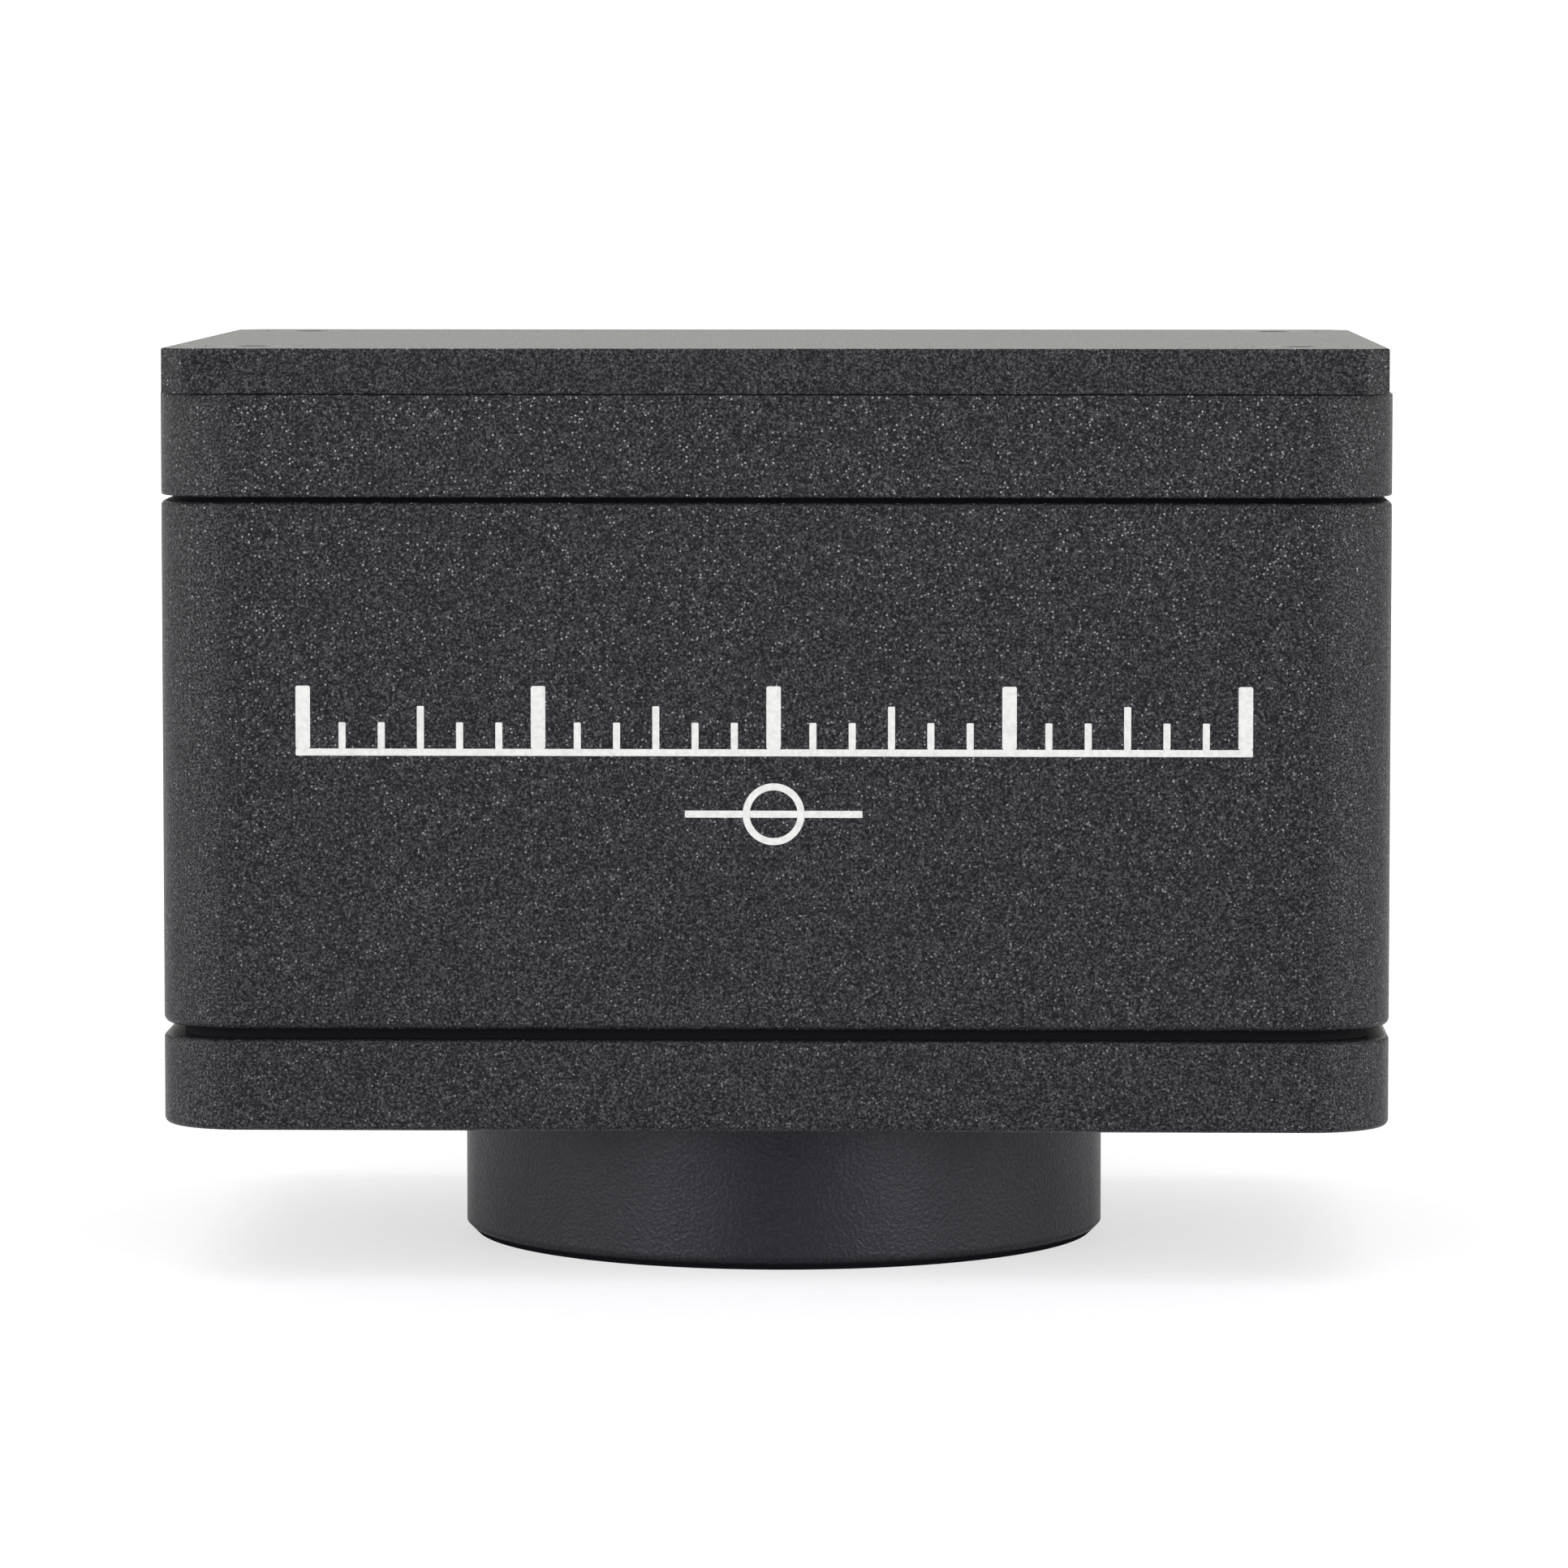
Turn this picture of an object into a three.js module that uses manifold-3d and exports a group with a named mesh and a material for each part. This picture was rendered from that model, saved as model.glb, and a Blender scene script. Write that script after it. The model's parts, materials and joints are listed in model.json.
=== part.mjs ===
// A sealed aluminium camera with a C-mount, standing on its mount. Millimetres, +Z up.
// The origin is the centre of the mount's seating face. +Z is the optical axis, from the mount to
// the rear cover. -Y is the printed long side, +Y is the connector side, and X runs along the width.

import * as THREE from "three";
import { mergeVertices } from "three/addons/utils/BufferGeometryUtils.js";
import Module from "manifold-3d";

const wasm = await Module();
wasm.setup();

// ---------------------------------------------------------------- driving dimensions

// Housing sections, stacked along Z.
const housingWidth = 60;
const housingDepth = 42;
const housingCorner = 4;
const edgeRound = 0.3;
const wall = 3;
const collarHeight = 7.5;
const collarWall = 3.55;
const collarChamfer = 0.5;
const flangeHeight = 4.75;
const bodyHeight = 25.7;
const rearHeight = 4.95;
const coverHeight = 2.1;
const coverEndInset = 0.3;
const coverSideInset = 0.1;
const coverCornerCut = 1.1;
const coverEdge = 0.15;
const frontSealHeight = 0.2;
const rearSealHeight = 0.15;
const sealInset = 1;
const sheetHeight = 0.15;

// Clearances.
const slip = 0.15;
const headSlip = 0.1;
const air = 0.4;
const joinGap = 0.3;

// C-mount: 1 inch diameter, 32 turns to the inch.
const threadRadius = 12.7;
const threadPitch = 25.4 / 32;
const threadTooth = 0.5;
const threadTurns = 6;
const throatStep = 1.7;
const spigotWall = 1.15;
const spigotHeight = 1.8;
const ringGrooveWidth = 1;
const ringGrooveDepth = 0.6;
const focalDistance = 17.526;

// Filter stack in the flange bore.
const filterSealHeight = 0.4;
const filterThickness = 1.1;
const retainerHeight = 1.1;
const retainerWall = 1.3;
const retainerSlotWidth = 1.2;
const retainerSlotDepth = 0.5;

// Image sensor, face down over the filter.
const packageWidth = 20;
const packageDepth = 17;
const packageRim = 2.4;
const packageRoof = 1;
const dieWidth = 12;
const dieDepth = 10.5;
const dieThickness = 0.7;
const coverGlassGap = 0.7;
const coverGlassThickness = 0.6;
const coverGlassMargin = 1.2;

// Boards.
const boardThickness = 1.6;
const boardGap = 2;
const chamberSealWall = 2;
const chamberSealLand = 0.8;
const pillarRadius = 2.2;
const pillarEdgeDistance = 4;

// Cooler stack.
const coolerSize = 15;
const coolerHeight = 3.4;
const coolerPlate = 0.7;
const pelletsPerSide = 4;
const coldFinger = 9;
const coldPlateHeight = 1.4;
const coolerMargin = 0.5;
const leadRadius = 0.5;
const leadReach = 3.2;
const leadSpread = 3;
const spreaderPadHeight = 1;
const rearBossHeight = 2.05;
const rearBossInsetX = 4;
const rearBossInsetY = 7;
const processorPadHeight = 3.1;

// Main board parts.
const processorSize = 11;
const processorHeight = 1.5;
const memoryWidth = 7.5;
const memoryDepth = 8;
const memoryHeight = 1;
const usbChip = { width: 5, depth: 5, height: 0.9 };
const oscillator = { width: 3.2, depth: 2.5, height: 0.8 };
const inductor = { width: 5, depth: 5, height: 2.4, corner: 1 };
const regulator = { width: 4, depth: 4, height: 0.9 };
const thermistor = { width: 1.2, depth: 2, height: 0.6 };
const boardEdgeMargin = 1.1;
const powerPitch = 8;
const flexConnector = { width: 3, depth: 11, height: 1.8 };
const flexConnectorGap = 4.5;
const flexWidth = 9;
const flexThickness = 0.3;
const flexRun = 1.5;

// Connector side.
const portWidth = 8.94;
const portHeight = 3.16;
const portLength = 7.35;
const portSkin = 0.35;
const portBack = 0.7;
const portCorner = 1.5;
const portRecess = 0.4;
const tongueHeight = 0.7;
const tongueWidth = 6.6;
const tongueSetback = 0.8;
const lightPipeRadius = 1;
const lightPipeInside = 1;
const lightPipeGap = 4.5;
const led = { size: 1.6, height: 2 };
const usbChipGap = 2.5;

// Fasteners: shank radius, head radius, head height and length under or with the head.
const bossRadius = 3.5;
const bossInset = 4.5;
const housingScrew = { shank: 1.25, head: 2.35, rim: 0.2, socket: 1.5, socketDepth: 0.9 };
const flangeScrewLength = 10;
const rearScrewLength = 14;
const smallScrew = { shank: 1, head: 1.9, headHeight: 1.3, socket: 1.3, socketDepth: 0.8 };
const mountScrewLength = 6;
const mountScrewEdge = 1.35;
const mountScrewCount = 3;
const boardScrewLength = 5;
const standoffFlats = 4;
const standoffStud = 4;
const tappedSpare = 1;

// Facets.
const roundSides = 36;
const smallSides = 12;
const cornerSteps = 3;

// ---------------------------------------------------------------- levels along Z

const flangeBottom = collarHeight;
const flangeTop = flangeBottom + flangeHeight;
const bodyBottom = flangeTop + frontSealHeight;
const bodyTop = bodyBottom + bodyHeight;
const rearBottom = bodyTop + rearSealHeight;
const rearTop = rearBottom + rearHeight;
const coverBottom = rearTop + sheetHeight;
const coverTop = coverBottom + coverHeight;

const threadLength = threadPitch * (threadTurns + 1);
const filterSealBottom = flangeBottom + spigotHeight;
const filterBottom = filterSealBottom + filterSealHeight;
const retainerBottom = filterBottom + filterThickness;

// Glass in the light path moves the focus back by about a third of its thickness.
const dieFace = focalDistance + filterThickness / 3;
const cavityRoof = dieFace + dieThickness;
const packageTop = cavityRoof + packageRoof;
const packageBottom = dieFace - coverGlassGap;
const sensorBoardBottom = packageTop;
const sensorBoardTop = sensorBoardBottom + boardThickness;

const coldPlateBottom = sensorBoardTop + air;
const coolerBottom = coldPlateBottom + coldPlateHeight;
const spreaderBottom = coolerBottom + coolerHeight;
const rearBossBottom = rearBottom - rearBossHeight;
const spreaderTop = rearBossBottom - spreaderPadHeight;
const processorTop = rearBossBottom - processorPadHeight;
const mainBoardTop = processorTop - processorHeight;
const mainBoardBottom = mainBoardTop - boardThickness;
const standoffHeight = mainBoardBottom - sensorBoardTop;

// ---------------------------------------------------------------- places in plan

const collarRadius = threadRadius + collarWall;
const throatRadius = threadRadius - throatStep;
const spigotRadius = throatRadius + spigotWall;
const ringGrooveRadius = spigotRadius + ringGrooveWidth;
const mountScrewCircle = ringGrooveRadius + mountScrewEdge;
const plateSize = coolerSize + 2 * coolerMargin;
const cavityWidth = housingWidth - 2 * wall;
const cavityDepth = housingDepth - 2 * wall;
const cavityCorner = Math.max(housingCorner - wall, edgeRound);
const bossX = housingWidth / 2 - bossInset;
const bossY = housingDepth / 2 - bossInset;
const boreRadius = spigotRadius + slip;
const mountSeat = flangeHeight - smallScrew.headHeight - air;
const packageReach = Math.hypot(packageWidth, packageDepth) / 2 + slip;
const chamberSealRadius = Math.max(packageReach, boreRadius + chamberSealLand);
const boardWidth = cavityWidth - 2 * boardGap;
const boardDepth = cavityDepth - 2 * boardGap;
const pillarY = boardDepth / 2 - pillarEdgeDistance;
const pillarX = chamberSealRadius + chamberSealWall + headSlip;
const sensorBoardWidth = 2 * (pillarX + pillarEdgeDistance - smallScrew.shank);
const spreaderOpening = plateSize + 4 * air;
const processorX = -(spreaderOpening + processorSize) / 2 - air;
const memoryX = (spreaderOpening + memoryWidth) / 2 + air;
const memoryY = memoryDepth / 2 + air;
const usbChipX = -(portWidth + usbChip.width) / 2 - usbChipGap;
const thermistorX = -(plateSize + thermistor.width) / 2 - boardGap;
const flexX = (plateSize + flexConnector.width) / 2 + flexConnectorGap;
const portFront = housingDepth / 2 - portRecess;
const portLevel = mainBoardTop + portHeight / 2;
const lightPipeX = portWidth / 2 + lightPipeGap + lightPipeRadius;
const lightPipeFront = housingDepth / 2 - headSlip;
const lightPipeLength = wall + lightPipeInside;

// How far a part of this depth lies from the middle when it sits at a long edge of the main board.
const edgeRow = ({ depth }) => boardDepth / 2 - boardEdgeMargin - depth / 2;

// The four places that are mirrored across both long and short middle lines.
const corners = (x, y) => [[x, y], [-x, y], [-x, -y], [x, -y]];

// ---------------------------------------------------------------- solids

function solidFrom(geometry) {
  const bare = geometry.index ? geometry.toNonIndexed() : geometry.clone();
  bare.deleteAttribute("normal");
  bare.deleteAttribute("uv");
  const merged = mergeVertices(bare, 1e-4);
  return new wasm.Manifold(
    new wasm.Mesh({
      numProp: 3,
      vertProperties: merged.attributes.position.array,
      triVerts: new Uint32Array(merged.index.array),
    }),
  );
}

function geometryFrom(solid) {
  const mesh = solid.getMesh();
  const geometry = new THREE.BufferGeometry();
  geometry.setAttribute("position", new THREE.BufferAttribute(new Float32Array(mesh.vertProperties), 3));
  geometry.setIndex(new THREE.BufferAttribute(new Uint32Array(mesh.triVerts), 1));
  geometry.computeVertexNormals();
  return geometry;
}

function roundedOutline(width, depth, radius) {
  const x = width / 2 - radius;
  const y = depth / 2 - radius;
  const outline = new THREE.Shape();
  corners(x, y).forEach(([cx, cy], quarter) => {
    outline.absarc(cx, cy, radius, (quarter * Math.PI) / 2, ((quarter + 1) * Math.PI) / 2);
  });
  return outline;
}

// A rectangle with its corners cut off at 45 degrees.
function cutOutline(width, depth, cut) {
  const points = corners(width / 2, depth / 2).flatMap(([x, y]) => {
    const onSide = new THREE.Vector2(x, y - Math.sign(y) * cut);
    const onEnd = new THREE.Vector2(x - Math.sign(x) * cut, y);
    return x * y > 0 ? [onSide, onEnd] : [onEnd, onSide];
  });
  return new THREE.Shape(points);
}

// An outline raised from z = 0 to a height. An edge adds round rims, and widens the outline by as much.
function raise(outline, height, edge) {
  const shape = new THREE.ExtrudeGeometry(outline, {
    depth: height - 2 * edge,
    bevelEnabled: edge > 0,
    bevelThickness: edge,
    bevelSize: edge,
    bevelSegments: 2,
    curveSegments: cornerSteps,
  });
  return solidFrom(shape.translate(0, 0, edge));
}

// A slab with round vertical corners, and round rims where an edge is given. Its base is at z = 0.
function slab(width, depth, height, corner, edge = 0) {
  const outline = roundedOutline(width - 2 * edge, depth - 2 * edge, corner - edge);
  return raise(outline, height, edge);
}

function box(width, depth, height) {
  return solidFrom(new THREE.BoxGeometry(width, depth, height).translate(0, 0, height / 2));
}

function rod(radius, height, sides = smallSides) {
  const shape = new THREE.CylinderGeometry(radius, radius, height, sides);
  return solidFrom(shape.rotateX(Math.PI / 2).translate(0, 0, height / 2));
}

// A hexagonal rod, measured across its flats.
function hexRod(flats, height) {
  return rod(flats / Math.sqrt(3), height, 6);
}

// A ring or pin turned about Z from a profile of [radius, z] points, counterclockwise.
function turned(profile, sides = roundSides) {
  const points = profile.map(([radius, z]) => new THREE.Vector2(radius, z));
  return solidFrom(new THREE.LatheGeometry(points, sides).rotateX(Math.PI / 2));
}

function ring(innerRadius, outerRadius, height, sides = roundSides) {
  return turned(
    [[innerRadius, 0], [outerRadius, 0], [outerRadius, height], [innerRadius, height], [innerRadius, 0]],
    sides,
  );
}

const block = ({ width, depth, height }) => box(width, depth, height);
const at = (solid, x, y, z = 0) => solid.translate([x, y, z]);
const cutAll = (solid, cutters) => cutters.reduce((left, cutter) => left.subtract(cutter), solid);
const joinAll = (solid, others) => others.reduce((whole, other) => whole.add(other), solid);

// ---------------------------------------------------------------- fasteners

// A flat-head screw with a hexagonal socket, its head's face at z = 0 and its shank towards +Z.
function flatHeadScrew({ shank, head, rim, socket, socketDepth }, length) {
  const neck = rim + head - shank;
  const profile = [[0, 0], [head, 0], [head, rim], [shank, neck], [shank, length], [0, length]];
  return turned(profile, smallSides).subtract(at(hexRod(socket, socketDepth + 1), 0, 0, -1));
}

// The room that a flat-head screw needs in the piece that its head sits in.
function flatHeadRoom({ shank, head, rim }, depth) {
  const hole = shank + slip;
  const mouth = head + headSlip;
  const neck = rim + mouth - hole + headSlip;
  const below = [[0, -1], [mouth, -1], [mouth, rim + headSlip]];
  const above = [[hole, neck], [hole, depth + 1], [0, depth + 1]];
  return turned([...below, ...above], smallSides);
}

// A cap screw with its head's seat at z = 0, its head towards +Z and its shank towards -Z.
function capScrew({ shank, head, headHeight, socket, socketDepth }, length) {
  const threaded = [[0, -length], [shank, -length], [shank, 0]];
  const capped = [[head, 0], [head, headHeight], [0, headHeight]];
  const wrenchRoom = at(hexRod(socket, headHeight), 0, 0, headHeight - socketDepth);
  return turned([...threaded, ...capped], smallSides).subtract(wrenchRoom);
}

// A hexagonal spacer with a stud below z = 0 and a tapped hole in its top.
function standoff() {
  const stud = rod(smallScrew.shank, standoffStud + 1);
  const tapped = rod(smallScrew.shank + slip, boardScrewLength);
  return hexRod(standoffFlats, standoffHeight)
    .add(at(stud, 0, 0, -standoffStud))
    .subtract(at(tapped, 0, 0, standoffHeight - boardScrewLength + boardThickness - tappedSpare));
}

const mountScrewPlaces = Array.from({ length: mountScrewCount }, (_, i) => {
  const angle = Math.PI / 2 + (i * 2 * Math.PI) / mountScrewCount;
  return [mountScrewCircle * Math.cos(angle), mountScrewCircle * Math.sin(angle)];
});

// ---------------------------------------------------------------- housing

function mountRing() {
  const thread = [];
  for (let turn = threadTurns; turn > 0; turn -= 1) {
    thread.push([threadRadius - threadTooth, threadPitch * (turn + 0.5)]);
    thread.push([threadRadius, threadPitch * turn]);
  }
  const profile = [
    [threadRadius + threadTooth / 2, 0],
    [collarRadius - collarChamfer, 0],
    [collarRadius, collarChamfer],
    [collarRadius, collarHeight],
    [ringGrooveRadius, collarHeight],
    [ringGrooveRadius, collarHeight - ringGrooveDepth],
    [spigotRadius, collarHeight - ringGrooveDepth],
    [spigotRadius, collarHeight + spigotHeight],
    [throatRadius, collarHeight + spigotHeight],
    [throatRadius, threadLength],
    [threadRadius, threadLength],
    ...thread,
    [threadRadius - threadTooth, threadPitch / 2],
    [threadRadius + threadTooth / 2, 0],
  ];
  const depth = mountScrewLength - mountSeat + tappedSpare;
  const tapped = mountScrewPlaces.map(([x, y]) =>
    at(rod(smallScrew.shank + slip, depth + 1, smallSides), x, y, collarHeight - depth),
  );
  return cutAll(turned(profile), tapped);
}

function frontFlange() {
  const pillarHeight = sensorBoardBottom - flangeTop;
  const tappedDepth = standoffStud - boardThickness + tappedSpare;
  const plate = slab(housingWidth, housingDepth, flangeHeight, housingCorner, edgeRound);
  const pillars = corners(pillarX, pillarY).map(([x, y]) =>
    at(rod(pillarRadius, pillarHeight + 1), x, y, flangeHeight - 1),
  );
  const tapped = corners(pillarX, pillarY).map(([x, y]) =>
    at(rod(smallScrew.shank + slip, tappedDepth + 1), x, y, flangeHeight + pillarHeight - tappedDepth),
  );
  const mountHoles = mountScrewPlaces.flatMap(([x, y]) => [
    at(rod(smallScrew.shank + slip, flangeHeight + 2), x, y, -1),
    at(rod(smallScrew.head + slip, flangeHeight), x, y, mountSeat),
  ]);
  const screwHoles = corners(bossX, bossY).map(([x, y]) =>
    at(flatHeadRoom(housingScrew, flangeHeight), x, y),
  );
  const bore = at(rod(boreRadius, flangeHeight + 2, roundSides), 0, 0, -1);
  return cutAll(joinAll(plate, pillars), [bore, ...tapped, ...mountHoles, ...screwHoles]);
}

// The open middle of the body: a rounded rectangle less the four screw bosses.
function cavity(height) {
  const bosses = corners(bossX, bossY).map(([x, y]) => at(rod(bossRadius, height + 2), x, y, -1));
  return cutAll(slab(cavityWidth, cavityDepth, height, cavityCorner), bosses);
}

function bodyShell() {
  const lowerDepth = flangeScrewLength - flangeHeight - frontSealHeight + tappedSpare;
  const rearStack = coverHeight + sheetHeight + rearHeight + rearSealHeight;
  const upperDepth = rearScrewLength - rearStack + tappedSpare;
  const tapped = corners(bossX, bossY).flatMap(([x, y]) => [
    at(rod(housingScrew.shank + slip, lowerDepth + 1), x, y, -1),
    at(rod(housingScrew.shank + slip, upperDepth + 1), x, y, bodyHeight - upperDepth),
  ]);
  const portHole = solidFrom(
    new THREE.ExtrudeGeometry(
      roundedOutline(portWidth + 2 * slip, portHeight + 2 * slip, portCorner + slip),
      { depth: wall * 2, bevelEnabled: false, curveSegments: cornerSteps },
    ).rotateX(Math.PI / 2),
  );
  const pipeRoom = lightPipeRadius + slip;
  const pipeHole = solidFrom(new THREE.CylinderGeometry(pipeRoom, pipeRoom, wall * 2, smallSides));
  const windowLevel = portLevel - bodyBottom;
  return cutAll(slab(housingWidth, housingDepth, bodyHeight, housingCorner, edgeRound), [
    at(cavity(bodyHeight + 2), 0, 0, -1),
    at(portHole, 0, housingDepth / 2 + wall / 2, windowLevel),
    at(pipeHole, lightPipeX, housingDepth / 2 - wall / 2, windowLevel),
    ...tapped,
  ]);
}

function rearHousing() {
  const boss = slab(
    cavityWidth - 2 * rearBossInsetX,
    cavityDepth - 2 * rearBossInsetY,
    rearBossHeight + 1,
    cavityCorner,
  );
  const holes = corners(bossX, bossY).map(([x, y]) =>
    at(rod(housingScrew.shank + slip, rearHeight + 2), x, y, -1),
  );
  const block = slab(housingWidth, housingDepth, rearHeight, housingCorner, edgeRound);
  return cutAll(block.add(at(boss, 0, 0, -rearBossHeight)), holes);
}

function rearCover() {
  const width = housingWidth - 2 * (coverEndInset + coverEdge);
  const depth = housingDepth - 2 * (coverSideInset + coverEdge);
  const cut = coverCornerCut - (2 - Math.SQRT2) * coverEdge;
  const plate = raise(cutOutline(width, depth, cut), coverHeight, coverEdge);
  const holes = corners(bossX, bossY).map(([x, y]) =>
    at(flatHeadRoom(housingScrew, coverHeight).rotate([180, 0, 0]), x, y, coverHeight),
  );
  return cutAll(plate, holes);
}

// A flat sheet between two housing sections, set back from their outside.
function sectionSheet(height, opening) {
  const holes = corners(bossX, bossY).map(([x, y]) =>
    at(rod(housingScrew.shank + slip, height + 2), x, y, -1),
  );
  const sheet = slab(
    housingWidth - 2 * sealInset,
    housingDepth - 2 * sealInset,
    height,
    housingCorner - sealInset,
  );
  return cutAll(sheet, opening ? [at(cavity(height + 2), 0, 0, -1), ...holes] : holes);
}

function ringSeal() {
  const cord = ringGrooveDepth / 2;
  const shape = new THREE.TorusGeometry(spigotRadius + ringGrooveWidth / 2, cord, 8, roundSides / 2);
  return at(solidFrom(shape), 0, 0, -cord);
}

// ---------------------------------------------------------------- filter and sensor

function filterRetainer() {
  const outer = boreRadius - headSlip;
  const slot = box(2 * outer + 2, retainerSlotWidth, retainerHeight);
  return ring(outer - retainerWall, outer, retainerHeight).subtract(
    at(slot, 0, 0, retainerHeight - retainerSlotDepth),
  );
}

function sensorPackage() {
  const pocketDepth = cavityRoof - packageBottom;
  const pocket = box(packageWidth - 2 * packageRim, packageDepth - 2 * packageRim, pocketDepth + 1);
  return box(packageWidth, packageDepth, packageTop - packageBottom).subtract(at(pocket, 0, 0, -1));
}

// ---------------------------------------------------------------- boards

// A board of the body's depth, with its corners cut round the screw bosses.
function boardBlank(width, opening) {
  const notches = corners(bossX, bossY).map(([x, y]) =>
    at(rod(bossRadius + air, boardThickness + 2), x, y, -1),
  );
  const holes = corners(pillarX, pillarY).map(([x, y]) =>
    at(rod(smallScrew.shank + slip, boardThickness + 2), x, y, -1),
  );
  const window = at(box(opening, opening, boardThickness + 2), 0, 0, -1);
  return cutAll(slab(width, boardDepth, boardThickness, edgeRound), [window, ...notches, ...holes]);
}

function coldPlate() {
  const finger = box(coldFinger, coldFinger, coldPlateBottom - packageTop + coldPlateHeight);
  const plate = at(box(plateSize, plateSize, coldPlateHeight), 0, 0, coldPlateBottom - packageTop);
  return finger.add(plate);
}

// Two ceramic plates with rows of pellets between them.
function peltierModule() {
  const pitch = coolerSize / pelletsPerSide;
  const pellets = [];
  for (let row = 0; row < pelletsPerSide; row += 1) {
    for (let column = 0; column < pelletsPerSide; column += 1) {
      const x = (column - (pelletsPerSide - 1) / 2) * pitch;
      const y = (row - (pelletsPerSide - 1) / 2) * pitch;
      pellets.push(at(box(pitch / 2, pitch / 2, coolerHeight - coolerPlate), x, y, coolerPlate / 2));
    }
  }
  const plate = box(coolerSize, coolerSize, coolerPlate);
  return joinAll(plate.add(at(plate, 0, 0, coolerHeight - coolerPlate)), pellets);
}

// A lead leaves the cooler's side and bends up to the underside of the main board.
function coolerLead() {
  const rise = mainBoardBottom - joinGap - coolerBottom - coolerHeight / 2;
  const path = new THREE.QuadraticBezierCurve3(
    new THREE.Vector3(0, 0, 0),
    new THREE.Vector3(-leadReach, 0, 0),
    new THREE.Vector3(-leadReach, 0, rise),
  );
  const section = new THREE.Shape().absarc(0, 0, leadRadius, 0, 2 * Math.PI);
  return solidFrom(new THREE.ExtrudeGeometry(section, { steps: 8, curveSegments: 8, extrudePath: path }));
}

// The flex leaves the lower connector, turns over in a half round and enters the upper one.
function flexCable() {
  const bend = (mainBoardBottom - sensorBoardTop - flexConnector.height) / 2;
  const inner = bend - flexThickness / 2;
  const outer = bend + flexThickness / 2;
  const outline = new THREE.Shape();
  outline.moveTo(0, -outer);
  outline.lineTo(flexRun, -outer);
  outline.absarc(flexRun, 0, outer, -Math.PI / 2, Math.PI / 2, false);
  outline.lineTo(0, outer);
  outline.lineTo(0, inner);
  outline.absarc(flexRun, 0, inner, Math.PI / 2, -Math.PI / 2, true);
  outline.lineTo(0, -inner);
  outline.closePath();
  const options = { depth: flexWidth, bevelEnabled: false, curveSegments: 6 };
  const strip = new THREE.ExtrudeGeometry(outline, options);
  return solidFrom(strip.translate(0, 0, -flexWidth / 2).rotateX(Math.PI / 2));
}

// ---------------------------------------------------------------- connector side

// The port's tube, open towards +Y, with its mouth at y = 0 and its middle at z = 0.
function portShell() {
  const outline = roundedOutline(portWidth, portHeight, portCorner);
  const mouth = roundedOutline(
    portWidth - 2 * portSkin,
    portHeight - 2 * portSkin,
    portCorner - portSkin,
  );
  const options = { depth: portLength, bevelEnabled: false, curveSegments: cornerSteps };
  const outside = solidFrom(new THREE.ExtrudeGeometry(outline, options).rotateX(Math.PI / 2));
  const inside = solidFrom(new THREE.ExtrudeGeometry(mouth, options).rotateX(Math.PI / 2));
  return outside.subtract(at(inside, 0, portBack));
}

// The tongue stands on the port's back wall.
function portTongue() {
  const length = portLength - portBack - tongueSetback;
  return at(box(tongueWidth, length, tongueHeight), 0, -tongueSetback - length / 2, -tongueHeight / 2);
}

function lightPipe() {
  const pipe = new THREE.CylinderGeometry(lightPipeRadius, lightPipeRadius, lightPipeLength, smallSides);
  return at(solidFrom(pipe), 0, -lightPipeLength / 2);
}

// ---------------------------------------------------------------- materials

function finish(color, roughness, metalness) {
  return new THREE.MeshStandardMaterial({ color, roughness, metalness });
}

const sparkleBlack = finish(0x3a3a3e, 0.55, 0.4);
const satinBlack = finish(0x2c2c2f, 0.45, 0.5);
const screwBlack = finish(0x1c1c1e, 0.35, 0.8);
const rubberBlack = finish(0x101012, 0.8, 0);
const aluminium = finish(0xb8babd, 0.4, 0.9);
const copper = finish(0xb56d43, 0.35, 0.95);
const steel = finish(0xa9abae, 0.3, 0.95);
const brass = finish(0xc2a14e, 0.35, 0.9);
const boardGreen = finish(0x1f4a35, 0.5, 0.1);
const chipBlack = finish(0x17181a, 0.5, 0.05);
const ceramic = finish(0xd8d6cf, 0.6, 0);
const silicon = finish(0x4b3f63, 0.15, 0.6);
const filterGlass = finish(0x9fd4cf, 0.05, 0);
const clearGlass = finish(0xe6f0f2, 0.05, 0);
const padGrey = finish(0x8f97a1, 0.85, 0);
const flexAmber = finish(0xa8691f, 0.4, 0);
const plasticWhite = finish(0xdedcd4, 0.5, 0);

// ---------------------------------------------------------------- assembly

const camera = new THREE.Group();

function place(name, solid, material, [x, y, z]) {
  const mesh = new THREE.Mesh(geometryFrom(solid), material);
  mesh.name = name;
  mesh.position.set(x, y, z);
  camera.add(mesh);
  return mesh;
}

place("c_mount_ring", mountRing(), satinBlack, [0, 0, 0]);
place("c_mount_o_ring", ringSeal(), rubberBlack, [0, 0, flangeBottom]);
place("front_flange", frontFlange(), sparkleBlack, [0, 0, flangeBottom]);
place("front_gasket", sectionSheet(frontSealHeight, true), rubberBlack, [0, 0, flangeTop]);
place("body_shell", bodyShell(), sparkleBlack, [0, 0, bodyBottom]);
place("rear_gasket", sectionSheet(rearSealHeight, true), rubberBlack, [0, 0, bodyTop]);
place("rear_housing", rearHousing(), sparkleBlack, [0, 0, rearBottom]);
place("cover_thermal_sheet", sectionSheet(sheetHeight, false), padGrey, [0, 0, rearTop]);
place("rear_cover", rearCover(), sparkleBlack, [0, 0, coverBottom]);

const filterSeal = ring(throatRadius, spigotRadius, filterSealHeight);
place("filter_gasket", filterSeal, rubberBlack, [0, 0, filterSealBottom]);
const filter = rod(spigotRadius, filterThickness, roundSides);
place("ir_cut_filter", filter, filterGlass, [0, 0, filterBottom]);
place("filter_retaining_ring", filterRetainer(), satinBlack, [0, 0, retainerBottom]);

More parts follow.
